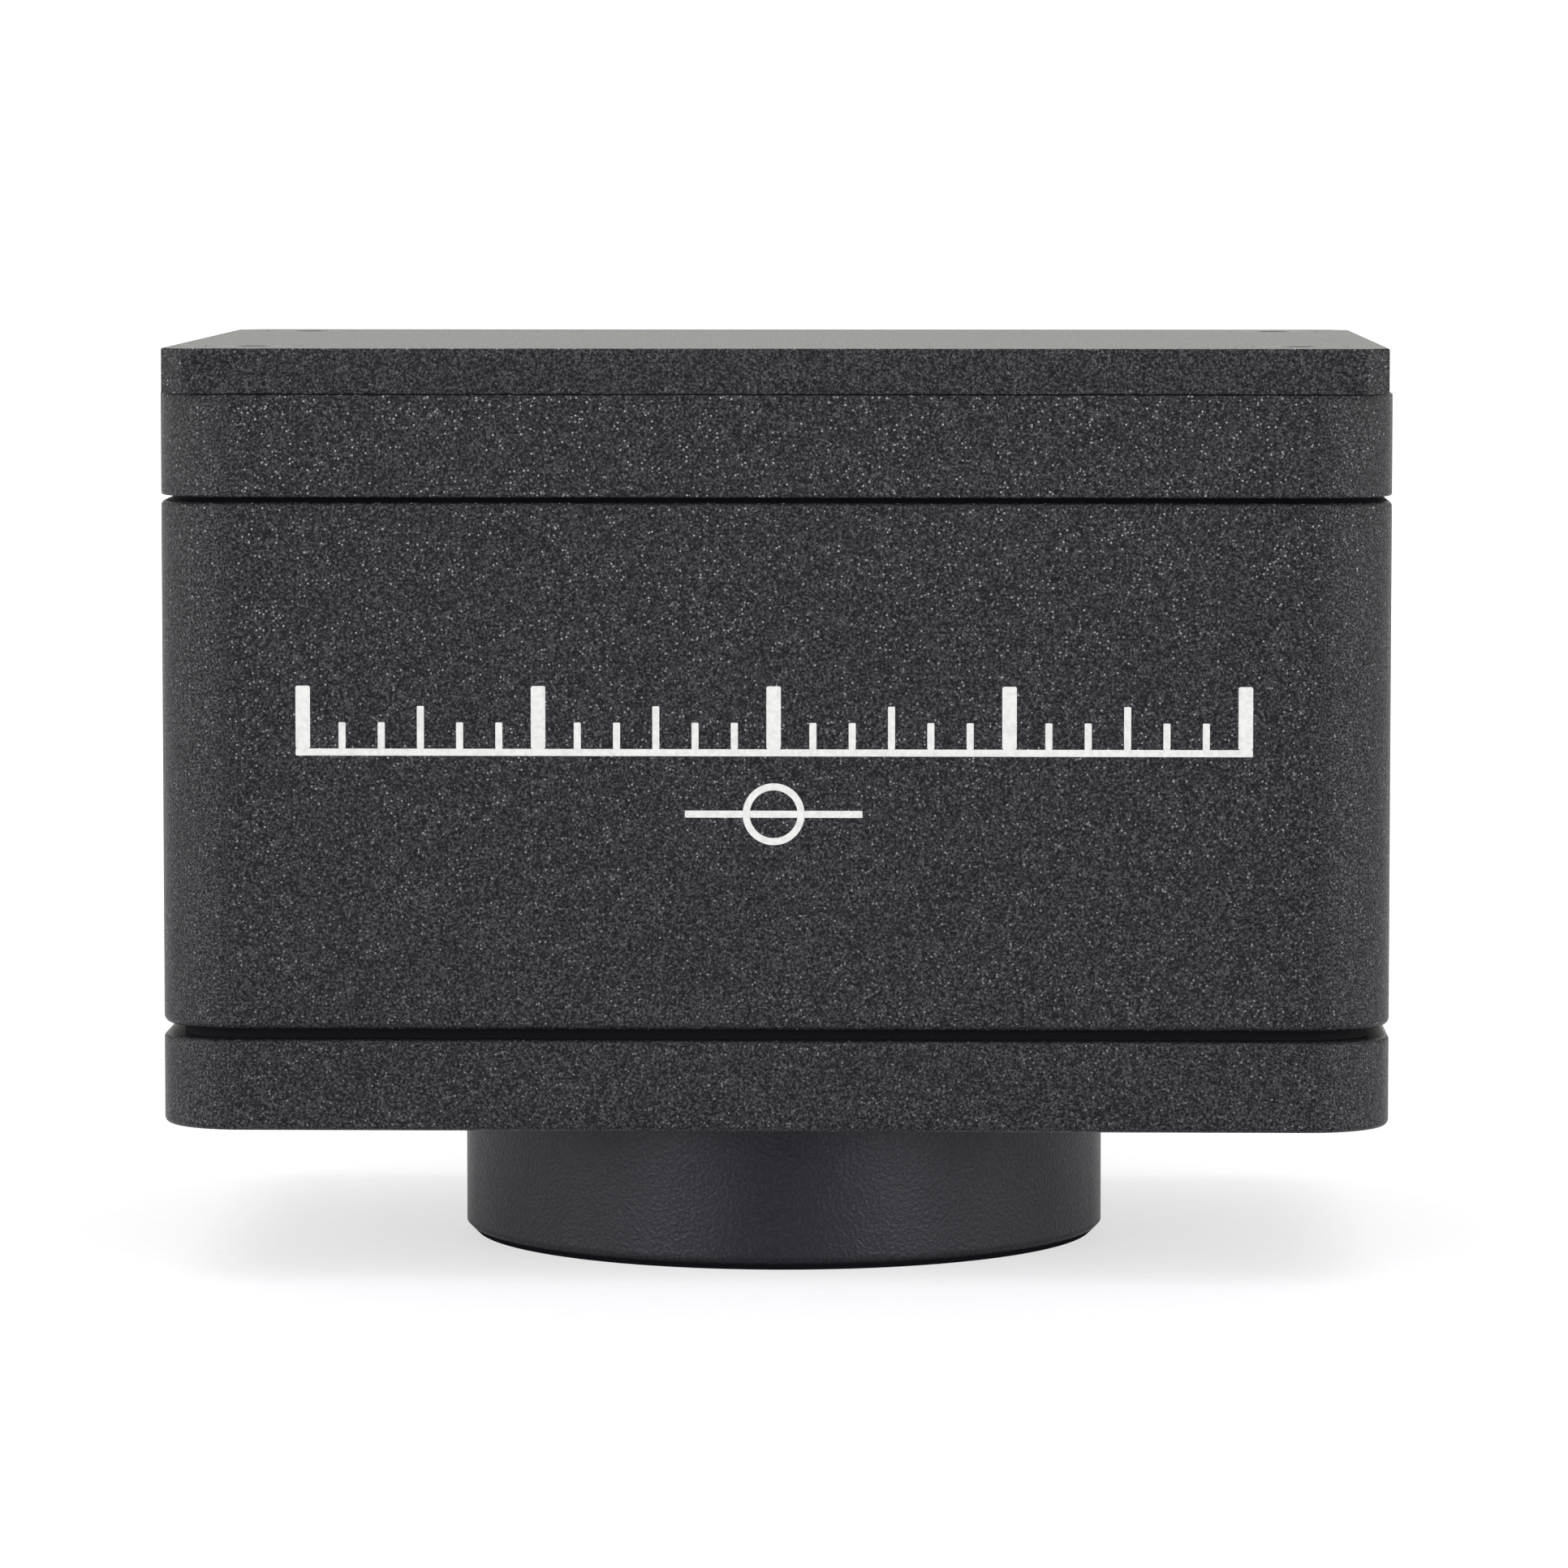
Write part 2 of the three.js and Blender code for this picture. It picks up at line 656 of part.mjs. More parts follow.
const chamberSealHeight = sensorBoardBottom - flangeTop;
const chamberSeal = ring(chamberSealRadius, chamberSealRadius + chamberSealWall, chamberSealHeight);
place("sensor_chamber_seal", chamberSeal, rubberBlack, [0, 0, flangeTop]);
const coverGlass = box(packageWidth - coverGlassMargin, packageDepth - coverGlassMargin, coverGlassThickness);
place("sensor_cover_glass", coverGlass, clearGlass, [0, 0, packageBottom - coverGlassThickness]);
place("sensor_die", box(dieWidth, dieDepth, dieThickness), silicon, [0, 0, dieFace]);
place("sensor_package", sensorPackage(), ceramic, [0, 0, packageBottom]);
const sensorBoard = boardBlank(sensorBoardWidth, coldFinger + 2 * air);
place("sensor_board", sensorBoard, boardGreen, [0, 0, sensorBoardBottom]);

place("cold_plate", coldPlate(), copper, [0, 0, packageTop]);
place("peltier_module", peltierModule(), ceramic, [0, 0, coolerBottom]);
for (const [name, side] of [["peltier_lead_1", 1], ["peltier_lead_2", -1]]) {
  const start = [-coolerSize / 2 - joinGap, side * leadSpread, coolerBottom + coolerHeight / 2];
  place(name, coolerLead(), rubberBlack, start);
}
place("temperature_sensor", block(thermistor), chipBlack, [thermistorX, 0, sensorBoardTop]);
const spreader = box(plateSize, plateSize, spreaderTop - spreaderBottom);
place("heat_spreader", spreader, aluminium, [0, 0, spreaderBottom]);
const spreaderPad = box(plateSize, plateSize, spreaderPadHeight);
place("spreader_thermal_pad", spreaderPad, padGrey, [0, 0, spreaderTop]);

place("main_board", boardBlank(boardWidth, spreaderOpening), boardGreen, [0, 0, mainBoardBottom]);
const processor = box(processorSize, processorSize, processorHeight);
place("processor_chip", processor, chipBlack, [processorX, 0, mainBoardTop]);
const processorPad = box(processorSize, processorSize, processorPadHeight);
place("processor_thermal_pad", processorPad, padGrey, [processorX, 0, processorTop]);
for (const [name, side] of [["memory_chip_1", 1], ["memory_chip_2", -1]]) {
  const memory = box(memoryWidth, memoryDepth, memoryHeight);
  place(name, memory, chipBlack, [memoryX, side * memoryY, mainBoardTop]);
}
place("usb_controller_chip", block(usbChip), chipBlack, [usbChipX, edgeRow(usbChip), mainBoardTop]);
place("clock_oscillator", block(oscillator), steel, [-powerPitch, -edgeRow(oscillator), mainBoardTop]);
const coil = slab(inductor.width, inductor.depth, inductor.height, inductor.corner);
place("power_inductor", coil, chipBlack, [0, -edgeRow(inductor), mainBoardTop]);
place("voltage_regulator", block(regulator), chipBlack, [powerPitch, -edgeRow(regulator), mainBoardTop]);

place("sensor_flex_connector", block(flexConnector), plasticWhite, [flexX, 0, sensorBoardTop]);
const upperConnectorBottom = mainBoardBottom - flexConnector.height;
place("main_flex_connector", block(flexConnector), plasticWhite, [flexX, 0, upperConnectorBottom]);
const flexStart = flexX + flexConnector.width / 2 + joinGap;
place("flex_cable", flexCable(), flexAmber, [flexStart, 0, (sensorBoardTop + mainBoardBottom) / 2]);

place("usb_port_shell", portShell(), steel, [0, portFront, portLevel]);
place("usb_port_tongue", portTongue(), chipBlack, [0, portFront, portLevel]);
place("light_pipe", lightPipe(), clearGlass, [lightPipeX, lightPipeFront, portLevel]);
const ledY = lightPipeFront - lightPipeLength - air - led.size / 2;
place("status_led", box(led.size, led.size, led.height), plasticWhite, [lightPipeX, ledY, mainBoardTop]);

corners(bossX, bossY).forEach(([x, y], i) => {
  const front = flatHeadScrew(housingScrew, flangeScrewLength);
  place(`flange_screw_${i + 1}`, front, screwBlack, [x, y, flangeBottom]);
  const rear = flatHeadScrew(housingScrew, rearScrewLength);
  place(`rear_screw_${i + 1}`, rear, screwBlack, [x, y, coverTop]).rotation.x = Math.PI;
});
mountScrewPlaces.forEach(([x, y], i) => {
  const seat = flangeBottom + mountSeat;
  place(`c_mount_screw_${i + 1}`, capScrew(smallScrew, mountScrewLength), screwBlack, [x, y, seat]);
});
corners(pillarX, pillarY).forEach(([x, y], i) => {
  place(`standoff_${i + 1}`, standoff(), brass, [x, y, sensorBoardTop]);
  place(`board_screw_${i + 1}`, capScrew(smallScrew, boardScrewLength), steel, [x, y, mainBoardTop]);
});

export default camera;
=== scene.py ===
"""A sealed black aluminium camera, standing on its C-mount in a white studio.

Metres, +Z up. The printed long side faces -Y and the connector side +Y.
"""

import json
import math

import bmesh
import bpy
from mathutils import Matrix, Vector


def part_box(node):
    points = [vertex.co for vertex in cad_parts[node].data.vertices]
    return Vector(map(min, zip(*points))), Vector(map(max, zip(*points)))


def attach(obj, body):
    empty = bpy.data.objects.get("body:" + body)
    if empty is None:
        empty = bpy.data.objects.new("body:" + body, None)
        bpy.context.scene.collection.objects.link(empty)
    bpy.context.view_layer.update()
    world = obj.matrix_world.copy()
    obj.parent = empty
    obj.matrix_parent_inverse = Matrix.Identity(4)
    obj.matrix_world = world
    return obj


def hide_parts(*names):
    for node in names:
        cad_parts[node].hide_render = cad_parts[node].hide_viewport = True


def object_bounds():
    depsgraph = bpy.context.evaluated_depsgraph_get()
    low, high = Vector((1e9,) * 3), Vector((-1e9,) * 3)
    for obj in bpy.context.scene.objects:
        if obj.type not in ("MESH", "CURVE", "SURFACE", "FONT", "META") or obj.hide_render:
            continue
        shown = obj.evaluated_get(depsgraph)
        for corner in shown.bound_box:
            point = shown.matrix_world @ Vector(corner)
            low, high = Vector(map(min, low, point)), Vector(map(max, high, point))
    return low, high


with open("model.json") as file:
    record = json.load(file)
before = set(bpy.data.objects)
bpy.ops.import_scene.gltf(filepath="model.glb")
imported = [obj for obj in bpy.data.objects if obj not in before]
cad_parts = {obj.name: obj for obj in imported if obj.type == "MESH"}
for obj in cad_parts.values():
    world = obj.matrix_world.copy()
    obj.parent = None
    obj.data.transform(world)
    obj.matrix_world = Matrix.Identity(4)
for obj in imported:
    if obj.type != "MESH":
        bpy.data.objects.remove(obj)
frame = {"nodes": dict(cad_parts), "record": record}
CAD_BOX = [list(corner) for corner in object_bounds()]

MM = 0.001
BODY = "root"

# Facets: round a turned piece, in a quarter of a plan corner, and in a quarter of a rim.
ROUND_SIDES = 96
SCREW_SIDES = 48
CORNER_STEPS = 16
RIM_STEPS = 6
SHARP_ANGLE = math.radians(40)

# Plan corners of the housing sections, and the radius of each section's lower and upper rim.
HOUSING_CORNER = 4 * MM
COVER_CORNER_CUT = 1.1 * MM
COVER_RIMS = (0.02 * MM, 0.1 * MM)
REAR_RIMS = (0.13 * MM, 0.02 * MM)
BODY_RIMS = (0.36 * MM, 0.3 * MM)
FLANGE_RIMS = (0.3 * MM, 0.25 * MM)
CAVITY_CORNER = 1 * MM

# How far the cover reaches down round the thermal sheet.
COVER_LIP = 0.1 * MM

# A step inside a section's upper rim widens the groove under the next section: inset, height.
BODY_STEP = (1.1 * MM, 0.08 * MM)
FLANGE_STEP = (1.1 * MM, 0.3 * MM)
WALL = 3 * MM
BOSS_RADIUS = 3.5 * MM

# How far the pad under the rear section stays from the walls, at the ends and at the sides.
BOSS_MARGINS = (3 * MM, 6 * MM)

# Fasteners.
SHANK_RADIUS = 1.25 * MM
SHANK_ROOM = 0.15 * MM
HEAD_RIM = 0.2 * MM
HEAD_ROOM = 0.03 * MM
SOCKET_FLATS = 1.5 * MM
SOCKET_DEPTH = 0.9 * MM

MOUNT_SCREW_SEAT = 1.3 * MM
MOUNT_SCREW_ROOM = 1.15 * MM
PILLAR_RADIUS = 2.2 * MM

# C-mount thread: 32 turns to the inch.
THREAD_PITCH = 25.4 / 32 * MM
THREAD_MAJOR = 12.7 * MM
THREAD_MINOR = 12.2 * MM
THREAD_LENGTH = 5.5 * MM
THROAT_RADIUS = 11 * MM
SPIGOT_RADIUS = 12.15 * MM
RING_GROOVE = (1 * MM, 0.6 * MM)
MOUNT_CHAMFER = 0.5 * MM
LEAD_IN = 0.25 * MM

# Contacts on each face of the USB-C tongue, and how far their two ends lie behind its tip.
CONTACTS_PER_ROW = 12
CONTACT_PITCH = 0.5 * MM
CONTACT_WIDTH = 0.26 * MM
CONTACT_HEIGHT = 0.06 * MM
CONTACT_ENDS = (3.2 * MM, 0.5 * MM)

# The camera's lens in millimetres, for a sensor 36 mm wide, and where it stands.
CAMERA_LENS = 175.4
CAMERA_PLACE = (9.3 * MM, -389.2 * MM, 54.6 * MM)

# Brightness of the studio: the dark strip in front, its sides low and high, the back and its flanks.
STRIP_BRIGHTNESS = 0.06
SIDE_BRIGHTNESS = 3.1
HIGH_BRIGHTNESS = 0.5
BACK_BRIGHTNESS = 1.22
FLANK_BRIGHTNESS = 0.3


# ---------------------------------------------------------------- mesh helpers


def span(node):
    """Lowest corner, highest corner and centre of a CAD node."""
    low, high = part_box(node)
    return low, high, (low + high) / 2


def rounded_rectangle(width, depth, radius, steps=CORNER_STEPS):
    """A counterclockwise outline about the origin. Corners of a single step are cut off straight."""
    points = []
    for quarter, (side_x, side_y) in enumerate([(1, 1), (-1, 1), (-1, -1), (1, -1)]):
        x = side_x * (width / 2 - radius)
        y = side_y * (depth / 2 - radius)
        for step in range(steps + 1):
            angle = math.pi / 2 * (quarter + step / steps)
            points.append((x + radius * math.cos(angle), y + radius * math.sin(angle)))
    return points


def circle(radius, sides):
    return [
        (radius * math.cos(2 * math.pi * i / sides), radius * math.sin(2 * math.pi * i / sides))
        for i in range(sides)
    ]


def level(outline, height):
    """An outline as a loop in a level plane."""
    return [Vector((x, y, height)) for x, y in outline]


def upright(outline, y, centre):
    """An outline as a loop in a plane that faces +Y, about a centre."""
    return [Vector((centre.x - u, y, centre.z + v)) for u, v in outline]


def rim_profile(low, high, low_rim, high_rim):
    """(inset, height) pairs from a block's lower face to its upper one, with a round rim at each."""
    pairs = []
    for step in range(RIM_STEPS + 1):
        angle = math.pi / 2 * step / RIM_STEPS
        inset = low_rim * (1 - math.sin(angle))
        pairs.append((inset, low + low_rim * (1 - math.cos(angle))))
    for step in range(RIM_STEPS, -1, -1):
        angle = math.pi / 2 * step / RIM_STEPS
        inset = high_rim * (1 - math.sin(angle))
        pairs.append((inset, high - high_rim * (1 - math.cos(angle))))
    return pairs


def add_loft(mesh, loops, joined=False):
    """Faces between neighbouring loops, and a cap at each end unless the last loop joins the first."""
    rows = [[mesh.verts.new(point) for point in loop] for loop in loops]
    pairs = list(zip(rows, rows[1:]))
    if joined:
        pairs.append((rows[-1], rows[0]))
    for lower, upper in pairs:
        for i in range(len(lower)):
            following = (i + 1) % len(lower)
            mesh.faces.new([lower[i], lower[following], upper[following], upper[i]])
    if not joined:
        mesh.faces.new(rows[0][::-1])
        mesh.faces.new(rows[-1])


def piece_from(mesh, name):
    bmesh.ops.recalc_face_normals(mesh, faces=mesh.faces)
    data = bpy.data.meshes.new(name)
    mesh.to_mesh(data)
    mesh.free()
    piece = bpy.data.objects.new(name, data)
    bpy.context.collection.objects.link(piece)
    return piece


def loft(name, loops, joined=False):
    mesh = bmesh.new()
    add_loft(mesh, loops, joined)
    return piece_from(mesh, name)


def block(name, width, depth, corner, low, high, low_rim, high_rim, steps=CORNER_STEPS, shadow=None):
    """A slab with rounded corners and rims, and a shadow step at its top if one is given."""
    loops = []
    step_inset, step_height = shadow or (0, 0)
    profile = rim_profile(low, high - step_height, low_rim, high_rim)
    if shadow:
        profile += [(step_inset, high - step_height), (step_inset, high)]
    for inset, height in profile:
        outline = rounded_rectangle(width - 2 * inset, depth - 2 * inset, corner - inset, steps)
        loops.append(level(outline, height))
    return loft(name, loops)


def turned(name, profile, sides=ROUND_SIDES, joined=False):
    """A piece turned about Z from (radius, height) pairs that go up its outside."""
    return loft(name, [level(circle(radius, sides), height) for radius, height in profile], joined)


def move(piece, x=0.0, y=0.0, z=0.0):
    for vertex in piece.data.vertices:
        vertex.co += Vector((x, y, z))
    return piece


def flip(piece):
    """Turns a piece upside down about the X axis."""
    for vertex in piece.data.vertices:
        vertex.co.y, vertex.co.z = -vertex.co.y, -vertex.co.z
    return piece


def combine(piece, others, operation):
    """Cuts the others from a piece or joins them to it, and removes them."""
    for other in others:
        modifier = piece.modifiers.new("combine", "BOOLEAN")
        modifier.operation = operation
        modifier.solver = "EXACT"
        modifier.object = other
    scene_state = bpy.context.evaluated_depsgraph_get()
    scene_state.update()
    result = bpy.data.meshes.new_from_object(piece.evaluated_get(scene_state))
    piece.modifiers.clear()
    piece.data = result
    result.name = piece.name
    for other in others:
        bpy.data.objects.remove(other)
    return piece


def finish(piece, look, slot, *nodes):
    """Shades a piece, parents it to the body, and hides the CAD nodes that it stands for."""
    piece.data.polygons.foreach_set("use_smooth", [True] * len(piece.data.polygons))
    piece.data.set_sharp_from_angle(angle=SHARP_ANGLE)
    weighted = piece.modifiers.new("even shading", "WEIGHTED_NORMAL")
    weighted.keep_sharp = True
    piece.data.materials.clear()
    piece.data.materials.append(look)
    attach(piece, BODY)
    if nodes:
        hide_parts(*nodes)
    return piece


# ---------------------------------------------------------------- materials


class Look:
    """A node material whose textures are laid out in millimetres."""

    def __init__(self, name, color, roughness, metallic=0.0):
        self.material = bpy.data.materials.new(name)
        self.material.use_nodes = True
        self.tree = self.material.node_tree
        self.shader = self.tree.nodes["Principled BSDF"]
        self.color = color
        self.set("Base Color", (*color, 1))
        self.set("Roughness", roughness)
        self.set("Metallic", metallic)
        where = self.tree.nodes.new("ShaderNodeTexCoord")
        scale = self.tree.nodes.new("ShaderNodeMapping")
        scale.inputs["Scale"].default_value = (1 / MM, 1 / MM, 1 / MM)
        self.join(where.outputs["Object"], scale.inputs["Vector"])
        self.place = scale.outputs["Vector"]

    def set(self, socket, value):
        self.shader.inputs[socket].default_value = value

    def join(self, output, socket):
        self.tree.links.new(output, socket)

    def noise(self, per_mm, detail=3.0, stretch=None):
        """Soft noise with a number of features to the millimetre, drawn out along an axis if asked."""
        node = self.tree.nodes.new("ShaderNodeTexNoise")
        node.inputs["Scale"].default_value = per_mm
        node.inputs["Detail"].default_value = detail
        place = self.place
        if stretch:
            mapping = self.tree.nodes.new("ShaderNodeMapping")
            mapping.inputs["Scale"].default_value = stretch
            self.join(place, mapping.inputs["Vector"])
            place = mapping.outputs["Vector"]
        self.join(place, node.inputs["Vector"])
        return node.outputs["Fac"]

    def height(self):
        """Millimetres above the floor."""
        node = self.tree.nodes.new("ShaderNodeSeparateXYZ")
        self.join(self.place, node.inputs["Vector"])
        return node.outputs["Z"]

    def reach(self):
        """Millimetres from the origin."""
        node = self.tree.nodes.new("ShaderNodeVectorMath")
        node.operation = "LENGTH"
        self.join(self.place, node.inputs[0])
        return node.outputs["Value"]

    def facing(self):
        """0 where the surface is seen square on, towards 1 at a grazing angle."""
        return self.tree.nodes.new("ShaderNodeLayerWeight").outputs["Facing"]

    def cells(self, per_mm):
        """Random cells: the distance to a cell's middle, and a random colour for each cell."""
        node = self.tree.nodes.new("ShaderNodeTexVoronoi")
        node.inputs["Scale"].default_value = per_mm
        self.join(self.place, node.inputs["Vector"])
        return node.outputs["Distance"], node.outputs["Color"]

    def bricks(self, width, height, gap, offset=0.0):
        """A grid of lines in the XY plane: 1 on the lines, 0 between them."""
        node = self.tree.nodes.new("ShaderNodeTexBrick")
        node.offset = offset
        node.inputs["Scale"].default_value = 1
        node.inputs["Brick Width"].default_value = width
        node.inputs["Row Height"].default_value = height
        node.inputs["Mortar Size"].default_value = gap
        self.join(self.place, node.inputs["Vector"])
        return node.outputs["Fac"]

    def spread(self, value, low, high, to_low=0.0, to_high=1.0):
        node = self.tree.nodes.new("ShaderNodeMapRange")
        node.inputs["From Min"].default_value = low
        node.inputs["From Max"].default_value = high
        node.inputs["To Min"].default_value = to_low
        node.inputs["To Max"].default_value = to_high
        self.join(value, node.inputs["Value"])
        return node.outputs["Result"]

    def math(self, operation, first, second):
        node = self.tree.nodes.new("ShaderNodeMath")
        node.operation = operation
        self.join(first, node.inputs[0])
        if isinstance(second, float):
            node.inputs[1].default_value = second
        else:
            self.join(second, node.inputs[1])
        return node.outputs["Value"]

    def blend(self, amount, first, second):
        """A colour between two, each a colour or another blend."""
        node = self.tree.nodes.new("ShaderNodeMix")
        node.data_type = "RGBA"
        self.join(amount, node.inputs["Factor"])
        for key, value in (("A", first), ("B", second)):
            socket = next(s for s in node.inputs if s.name == key and s.type == "RGBA")
            if isinstance(value, tuple):
                socket.default_value = (*value, 1)
            else:
                self.join(value, socket)
        return next(s for s in node.outputs if s.type == "RGBA")

    def paint(self, color):
        self.join(color, self.shader.inputs["Base Color"])

    def polish(self, roughness):
        self.join(roughness, self.shader.inputs["Roughness"])

    def relief(self, height, depth):
        """Bumps of a depth in millimetres."""
        node = self.tree.nodes.new("ShaderNodeBump")
        node.inputs["Strength"].default_value = 1
        node.inputs["Distance"].default_value = depth * MM
        self.join(height, node.inputs["Height"])
        self.join(node.outputs["Normal"], self.shader.inputs["Normal"])


def shade(color, factor):
    return tuple(channel * factor for channel in color)


def powder_coat():
    """Fine-texture powder coat: glossy pebbles, dull pits between them, and a few pale specks painted
    in as glints, stronger towards the top where the light falls from above.
    """
    look = Look("powder_coat", (0.012, 0.0115, 0.016), 0.38)
    grain = look.noise(10.5, 2)
    pebbles = look.math("POWER", look.spread(grain, 0.3, 0.76), 2.2)
    # Painted glints: pale specks in the colour stand in for light caught by the coat's bumps.
    distance, random_color = look.cells(6)
    chance = look.math("POWER", look.spread(random_color, 0.6, 0.9), 2.0)
    painted_glints = look.math("MULTIPLY", chance, look.spread(distance, 0.38, 0.12))
    # Painted light: the glints grow stronger with height, as if lit from above.
    painted_glints = look.math("MULTIPLY", painted_glints, look.spread(look.height(), 8, 42, 0.4, 0.85))
    pit_color = (0.0015, 0.0013, 0.003)
    pebble_color = (0.033, 0.031, 0.043)
    # The colour of the painted glints.
    painted_glint_color = (0.38, 0.38, 0.42)
    ground = look.blend(pebbles, pit_color, pebble_color)
    look.paint(look.blend(painted_glints, ground, painted_glint_color))
    look.polish(look.spread(pebbles, 0.0, 1.0, 0.42, 0.32))
    look.join(look.spread(pebbles, 0.0, 1.0, 0.12, 0.9), look.shader.inputs["Specular IOR Level"])
    look.relief(grain, 0.05)
    return look.material


def anodised():
    """Satin black anodised aluminium with a faint orange peel, and its lower edge painted dark and
    dull as a contact shadow.
    """
    look = Look("anodised_black", (0.005, 0.0048, 0.0085), 0.36)
    peel = look.noise(6, 2)
    patches = look.noise(0.25, 2)
    # Painted shadow: below 0.3 to 0.75 mm the collar gets a dark colour and no reflection, standing
    # for its contact shadow.
    above_contact_shadow = look.spread(look.height(), 0.3, 0.75)
    tone = look.blend(look.spread(patches, 0.3, 0.7), (0.003, 0.0028, 0.0062), (0.0065, 0.006, 0.0095))
    tone = look.blend(look.spread(peel, 0.45, 0.75, 0.0, 0.5), tone, (0.022, 0.021, 0.028))
    look.paint(look.blend(above_contact_shadow, (0.006, 0.0058, 0.008), tone))
    look.polish(look.spread(peel, 0.3, 0.7, 0.42, 0.3))
    gloss = look.spread(look.facing(), 0.25, 0.75, 0.3, 0.05)
    look.join(look.math("MULTIPLY", gloss, above_contact_shadow), look.shader.inputs["Specular IOR Level"])
    look.set("Specular Tint", (0.9, 0.88, 1.0, 1))
    look.relief(peel, 0.04)
    return look.material


def print_ink():
    """White pad-printed ink that follows the powder coat's texture."""
    look = Look("print_ink", (0.52, 0.52, 0.52), 0.55)
    pebbles = look.noise(4.5, 3)
    look.paint(look.blend(look.spread(pebbles, 0.25, 0.6), (0.44, 0.44, 0.45), (0.54, 0.54, 0.54)))
    look.relief(pebbles, 0.03)
    return look.material


def mottled(name, color, roughness, metallic=0.0, per_mm=3.0, contrast=0.3, depth=0.01, stretch=None):
    """A material whose tone and roughness vary softly, with a slight relief."""
    look = Look(name, color, roughness, metallic)
    fine = look.noise(per_mm, 4, stretch)
    broad = look.noise(per_mm / 8, 2)
    dark = shade(color, 1 - contrast)
    light = shade(color, 1 + contrast)
    tone = look.blend(look.spread(fine, 0.3, 0.7), dark, light)
    stain = look.spread(broad, 0.3, 0.7, 0.0, 0.4)
    look.paint(look.blend(stain, tone, shade(color, 1 - contrast / 2)))
    look.polish(look.spread(fine, 0.3, 0.7, roughness * 0.85, min(roughness * 1.15, 1.0)))
    look.relief(fine, depth)
    return look


def optical_glass(name, color, coat_tint):
    """Coated glass with faint dust."""
    look = Look(name, color, 0.03)
    look.set("Transmission Weight", 0.92)
    look.set("IOR", 1.5)
    look.set("Coat Weight", 0.6)
    look.set("Coat Tint", (*coat_tint, 1))
    dust = look.spread(look.noise(9, 2), 0.68, 0.8)
    look.polish(look.spread(dust, 0.0, 1.0, 0.03, 0.35))
    look.paint(look.blend(dust, color, (0.8, 0.8, 0.8)))
    return look.material


def sensor_silicon():
    """The pixel array: a fine grid on blue-violet silicon."""
    look = Look("sensor_silicon", (0.06, 0.045, 0.12), 0.16, 0.75)
    grid = look.bricks(0.12, 0.12, 0.012)
    sheen = look.noise(0.15, 1)
    tone = look.blend(look.spread(sheen, 0.3, 0.7), (0.05, 0.05, 0.16), (0.1, 0.045, 0.11))
    look.paint(look.blend(grid, tone, (0.02, 0.02, 0.03)))
    look.relief(grid, 0.003)
    return look.material


def circuit_board():
    """Green solder mask over a lattice of traces, with glass weave under it."""
    look = Look("circuit_board", (0.015, 0.09, 0.045), 0.38)
    traces = look.bricks(1.9, 0.7, 0.09, 0.5)
    weave = look.noise(5, 2)
    tone = look.blend(traces, (0.012, 0.075, 0.038), (0.03, 0.17, 0.08))
    look.paint(look.blend(look.spread(weave, 0.45, 0.75, 0.0, 0.4), tone, (0.02, 0.1, 0.06)))
    look.relief(traces, 0.02)
    return look.material


def rubber():
    """Dull black rubber."""
    look = mottled("rubber_black", (0.006, 0.006, 0.008), 0.9, 0.0, 6, 0.4, 0.02)
    look.set("Specular IOR Level", 0.15)
    return look.material


def machined(name, color, roughness, stretch=(1, 14, 1)):
    """Bare metal with fine tool marks."""
    return mottled(name, color, roughness, 1.0, 3.0, 0.14, 0.006, stretch).material


def make_looks():
    """One material for each material slot of the record."""
    return {
        "housing_black": powder_coat(),
        "mount_black": anodised(),
        "rubber_black": rubber(),
        "thermal_pad": mottled("thermal_pad", (0.035, 0.037, 0.042), 0.9, 0.0, 4, 0.15, 0.03).material,
        "filter_glass": optical_glass("filter_glass", (0.62, 0.85, 0.83), (0.7, 0.9, 1.0)),
        "clear_glass": optical_glass("clear_glass", (0.93, 0.96, 0.96), (0.9, 0.95, 1.0)),
        "sensor_silicon": sensor_silicon(),
        "ceramic_white": mottled("ceramic_white", (0.62, 0.6, 0.55), 0.55, 0.0, 5, 0.1, 0.01).material,
        "board_green": circuit_board(),
        "copper": machined("copper", (0.72, 0.33, 0.18), 0.32),
        "lead_sleeve": mottled("lead_sleeve", (0.015, 0.015, 0.016), 0.5, 0.0, 4, 0.3, 0.01).material,
        "bare_aluminium": machined("bare_aluminium", (0.7, 0.71, 0.73), 0.36),
        "chip_black": mottled("chip_black", (0.016, 0.017, 0.018), 0.55, 0.0, 9, 0.35, 0.012).material,
        "can_steel": machined("can_steel", (0.56, 0.56, 0.55), 0.26),
        "connector_white": mottled(
            "connector_white", (0.7, 0.68, 0.62), 0.5, 0.0, 3, 0.08, 0.008
        ).material,
        "flex_amber": mottled(
            "flex_amber", (0.45, 0.19, 0.03), 0.3, 0.0, 2, 0.25, 0.004, (1, 9, 1)
        ).material,
        "clear_plastic": optical_glass("clear_plastic", (0.92, 0.95, 0.94), (1.0, 1.0, 1.0)),
        "screw_black": mottled(
            "screw_black", (0.012, 0.012, 0.014), 0.45, 0.0, 5, 0.35, 0.008
        ).material,
        "screw_steel": machined("screw_steel", (0.6, 0.6, 0.6), 0.28),
        "standoff_brass": machined("standoff_brass", (0.72, 0.5, 0.2), 0.3),
    }


looks = make_looks()


def dress_nodes():
    """Gives each CAD node its slot's material."""
    for part in frame["record"]["subparts"]:
        node = frame["nodes"][part["node"]]
        for slot in node.material_slots:
            slot.material = looks[part["material_slot"]]


# ---------------------------------------------------------------- holes and screws

CORNER_SCREWS = [f"rear_screw_{i}" for i in range(1, 5)]
FLANGE_SCREWS = [f"flange_screw_{i}" for i in range(1, 5)]


